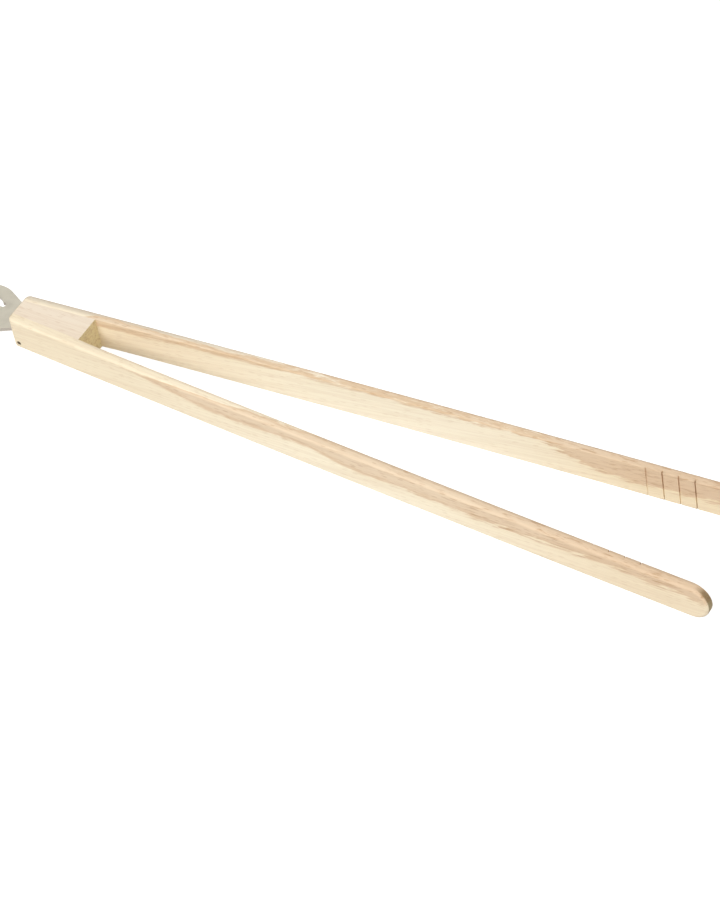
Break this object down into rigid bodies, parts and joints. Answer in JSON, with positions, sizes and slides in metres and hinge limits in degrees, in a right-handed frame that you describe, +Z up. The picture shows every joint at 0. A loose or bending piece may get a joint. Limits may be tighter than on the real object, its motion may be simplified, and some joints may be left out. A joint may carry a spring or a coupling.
{
  "type": "wooden spring tongs",
  "caption": "Wooden spring tongs: long springy arms glued to a wedge block, with grooved rounded tips and a flat steel bottle opener in the handle end.",
  "frame": {"origin": "middle of the whole outline, on the surface that the tongs lie on", "axes": "+X along the tongs from the handle to the tips, +Y across the jaws to the far arm, +Z up from the side they lie on"},
  "size_m": [0.4602, 0.0696, 0.02],
  "materials": {
    "beech_arm": "planed and sanded, unvarnished",
    "beech_block": "planed and sanded, unvarnished",
    "opener_steel": "tumbled satin plating",
    "nail_steel": "dull bare wire"
  },
  "bodies": {
    "handle": {"wedge_block": "beech_block", "near_arm_root": "beech_arm", "far_arm_root": "beech_arm", "bottle_opener": "opener_steel", "tang_pin": "nail_steel", "cross_brad": "nail_steel"},
    "near_limb": {"near_arm_limb": "beech_arm"},
    "far_limb": {"far_arm_limb": "beech_arm"}
  },
  "joints": [
    {"name": "near_arm_flex", "type": "hinge", "parent": "handle", "child": "near_limb", "pos_m": [-0.0891, -0.01172, 0], "axis": [0, 0, 1], "range_deg": [0, 5.37], "stiffness_Nm_per_rad": 15.3},
    {"name": "far_arm_flex", "type": "hinge", "parent": "handle", "child": "far_limb", "pos_m": [-0.0891, 0.01172, 0], "axis": [0, 0, -1], "range_deg": [0, 5.37], "stiffness_Nm_per_rad": 15.3}
  ]
}
